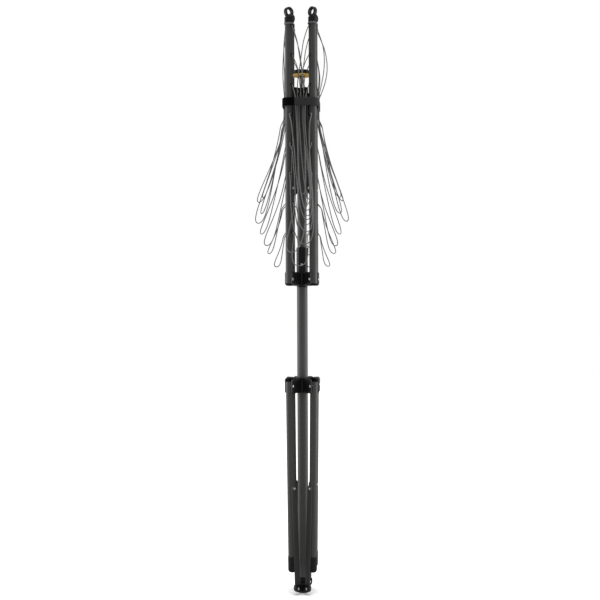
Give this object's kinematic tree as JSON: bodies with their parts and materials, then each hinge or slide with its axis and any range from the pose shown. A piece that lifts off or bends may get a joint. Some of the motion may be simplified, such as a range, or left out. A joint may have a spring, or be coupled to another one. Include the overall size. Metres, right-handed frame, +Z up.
{
  "type": "rotary clothesline",
  "caption": "Free-standing rotary clothesline folded upright: arms on struts and a sliding hub over a two-part turning mast, folding legs, lines hanging in loops between the arms",
  "frame": {"origin": "centre of the base pad's underside, on the ground", "axes": "Z up along the mast; front is -Y; arms and legs stand on the diagonals, number 1 at the front right (+X, -Y) and on anticlockwise seen from above"},
  "size_m": [0.2666, 0.1893, 1.6463],
  "materials": {
    "mast_tube": "satin",
    "arm_tube": "satin",
    "leg_tube": "satin",
    "strut": "satin",
    "hub_plastic": "matte",
    "cap_plastic": "matte",
    "rivet_steel": "polished",
    "orange_plastic": "satin",
    "pad_rubber": "matte",
    "line_cord": "matte",
    "strap_webbing": "matte"
  },
  "bodies": {
    "stand": {"outer_mast": "mast_tube", "mast_bush": "hub_plastic", "base_hub": "hub_plastic", "base_pad": "pad_rubber", "base_rivets": "rivet_steel"},
    "head": {"inner_mast": "mast_tube", "inner_mast_plug": "hub_plastic", "crown": "hub_plastic", "crown_rivets": "rivet_steel"},
    "knob": {"knob_stem": "hub_plastic", "knob_cap": "hub_plastic", "knob_ring": "orange_plastic"},
    "arm_strut_1": {"arm_strut_1": "strut"},
    "arm_1": {"arm_1": "arm_tube", "arm_eye_1": "cap_plastic", "arm_grommets_1": "cap_plastic", "arm_rivet_1": "rivet_steel", "line_1": "line_cord", "strap": "strap_webbing"},
    "arm_strut_2": {"arm_strut_2": "strut"},
    "arm_2": {"arm_2": "arm_tube", "arm_eye_2": "cap_plastic", "arm_grommets_2": "cap_plastic", "arm_rivet_2": "rivet_steel", "line_2": "line_cord"},
    "arm_strut_3": {"arm_strut_3": "strut"},
    "arm_3": {"arm_3": "arm_tube", "arm_eye_3": "cap_plastic", "arm_grommets_3": "cap_plastic", "arm_rivet_3": "rivet_steel", "line_3": "line_cord"},
    "arm_strut_4": {"arm_strut_4": "strut"},
    "arm_4": {"arm_4": "arm_tube", "arm_eye_4": "cap_plastic", "arm_grommets_4": "cap_plastic", "arm_rivet_4": "rivet_steel", "line_4": "line_cord"},
    "arm_hub": {"arm_hub": "hub_plastic", "arm_hub_rivets": "rivet_steel", "arm_hub_screw": "rivet_steel"},
    "leg_strut_1": {"leg_strut_1": "strut"},
    "leg_1": {"leg_1": "leg_tube", "leg_foot_1": "cap_plastic", "leg_rivet_1": "rivet_steel"},
    "leg_strut_2": {"leg_strut_2": "strut"},
    "leg_2": {"leg_2": "leg_tube", "leg_foot_2": "cap_plastic", "leg_rivet_2": "rivet_steel"},
    "leg_strut_3": {"leg_strut_3": "strut"},
    "leg_3": {"leg_3": "leg_tube", "leg_foot_3": "cap_plastic", "leg_rivet_3": "rivet_steel"},
    "leg_strut_4": {"leg_strut_4": "strut"},
    "leg_4": {"leg_4": "leg_tube", "leg_foot_4": "cap_plastic", "leg_rivet_4": "rivet_steel"},
    "leg_hub": {"leg_hub": "hub_plastic", "leg_hub_rivets": "rivet_steel"}
  },
  "joints": [
    {"name": "mast_spin", "type": "hinge", "parent": "stand", "child": "head", "pos_m": [0, 0, 0.862], "axis": [0, 0, 1], "continuous": true},
    {"name": "knob_pull", "type": "slide", "parent": "head", "child": "knob", "axis": [0, 0, 1], "range_m": [0, 0.015]},
    {"name": "arms_open", "type": "hinge", "parent": "head", "child": "arm_strut_1", "pos_m": [0.02263, -0.02263, 1.40758], "axis": [-0.7071, -0.7071, 0], "range_deg": [0, 66.7], "deforming": ["strap", "line_1", "line_2", "line_3", "line_4"]},
    {"name": "arm_strut_2_fold", "type": "hinge", "parent": "head", "child": "arm_strut_2", "pos_m": [0.02263, 0.02263, 1.40758], "axis": [0.7071, -0.7071, 0], "range_deg": [0, 67]},
    {"name": "arm_strut_3_fold", "type": "hinge", "parent": "head", "child": "arm_strut_3", "pos_m": [-0.02263, 0.02263, 1.40758], "axis": [0.7071, 0.7071, 0], "range_deg": [0, 67]},
    {"name": "arm_strut_4_fold", "type": "hinge", "parent": "head", "child": "arm_strut_4", "pos_m": [-0.02263, -0.02263, 1.40758], "axis": [-0.7071, 0.7071, 0], "range_deg": [0, 67]},
    {"name": "arm_1_fold", "type": "hinge", "parent": "arm_strut_1", "child": "arm_1", "pos_m": [0.03323, -0.03323, 1.138], "axis": [0.7071, 0.7071, 0], "range_deg": [0, 137.2]},
    {"name": "arm_2_fold", "type": "hinge", "parent": "arm_strut_2", "child": "arm_2", "pos_m": [0.03323, 0.03323, 1.138], "axis": [-0.7071, 0.7071, 0], "range_deg": [0, 137.2]},
    {"name": "arm_3_fold", "type": "hinge", "parent": "arm_strut_3", "child": "arm_3", "pos_m": [-0.03323, 0.03323, 1.138], "axis": [-0.7071, -0.7071, 0], "range_deg": [0, 137.2]},
    {"name": "arm_4_fold", "type": "hinge", "parent": "arm_strut_4", "child": "arm_4", "pos_m": [-0.03323, -0.03323, 1.138], "axis": [0.7071, -0.7071, 0], "range_deg": [0, 137.2]},
    {"name": "arm_hub_slide", "type": "hinge", "parent": "arm_1", "child": "arm_hub", "pos_m": [0.03323, -0.03323, 0.884], "axis": [-0.7071, -0.7071, 0], "range_deg": [0, 70.5]},
    {"name": "legs_open", "type": "hinge", "parent": "stand", "child": "leg_strut_1", "pos_m": [0.02334, -0.02334, 0.01774], "axis": [0.7071, 0.7071, 0], "range_deg": [0, 46]},
    {"name": "leg_strut_2_fold", "type": "hinge", "parent": "stand", "child": "leg_strut_2", "pos_m": [0.02334, 0.02334, 0.01774], "axis": [-0.7071, 0.7071, 0], "range_deg": [0, 46.3]},
    {"name": "leg_strut_3_fold", "type": "hinge", "parent": "stand", "child": "leg_strut_3", "pos_m": [-0.02334, 0.02334, 0.01774], "axis": [-0.7071, -0.7071, 0], "range_deg": [0, 46.3]},
    {"name": "leg_strut_4_fold", "type": "hinge", "parent": "stand", "child": "leg_strut_4", "pos_m": [-0.02334, -0.02334, 0.01774], "axis": [0.7071, -0.7071, 0], "range_deg": [0, 46.3]},
    {"name": "leg_1_fold", "type": "hinge", "parent": "leg_strut_1", "child": "leg_1", "pos_m": [0.03112, -0.03112, 0.29853], "axis": [-0.7071, -0.7071, 0], "range_deg": [0, 90.5]},
    {"name": "leg_2_fold", "type": "hinge", "parent": "leg_strut_2", "child": "leg_2", "pos_m": [0.03112, 0.03112, 0.29853], "axis": [0.7071, -0.7071, 0], "range_deg": [0, 90.5]},
    {"name": "leg_3_fold", "type": "hinge", "parent": "leg_strut_3", "child": "leg_3", "pos_m": [-0.03112, 0.03112, 0.29853], "axis": [0.7071, 0.7071, 0], "range_deg": [0, 90.5]},
    {"name": "leg_4_fold", "type": "hinge", "parent": "leg_strut_4", "child": "leg_4", "pos_m": [-0.03112, -0.03112, 0.29853], "axis": [-0.7071, 0.7071, 0], "range_deg": [0, 90.5]},
    {"name": "leg_hub_slide", "type": "hinge", "parent": "leg_1", "child": "leg_hub", "pos_m": [0.03394, -0.03394, 0.5845], "axis": [0.7071, 0.7071, 0], "range_deg": [0, 44.5]}
  ],
  "couplings": [
    {"joint": "arm_strut_2_fold", "follows": "arms_open", "ratio": 1},
    {"joint": "arm_strut_3_fold", "follows": "arms_open", "ratio": 1},
    {"joint": "arm_strut_4_fold", "follows": "arms_open", "ratio": 1},
    {"joint": "arm_1_fold", "follows": "arms_open", "ratio": 2.0493},
    {"joint": "arm_2_fold", "follows": "arms_open", "ratio": 2.0493},
    {"joint": "arm_3_fold", "follows": "arms_open", "ratio": 2.0493},
    {"joint": "arm_4_fold", "follows": "arms_open", "ratio": 2.0493},
    {"joint": "arm_hub_slide", "follows": "arms_open", "ratio": 1.0493},
    {"joint": "leg_strut_2_fold", "follows": "legs_open", "ratio": 1},
    {"joint": "leg_strut_3_fold", "follows": "legs_open", "ratio": 1},
    {"joint": "leg_strut_4_fold", "follows": "legs_open", "ratio": 1},
    {"joint": "leg_1_fold", "follows": "legs_open", "ratio": 1.9569},
    {"joint": "leg_2_fold", "follows": "legs_open", "ratio": 1.9569},
    {"joint": "leg_3_fold", "follows": "legs_open", "ratio": 1.9569},
    {"joint": "leg_4_fold", "follows": "legs_open", "ratio": 1.9569},
    {"joint": "leg_hub_slide", "follows": "legs_open", "ratio": 0.95694}
  ]
}
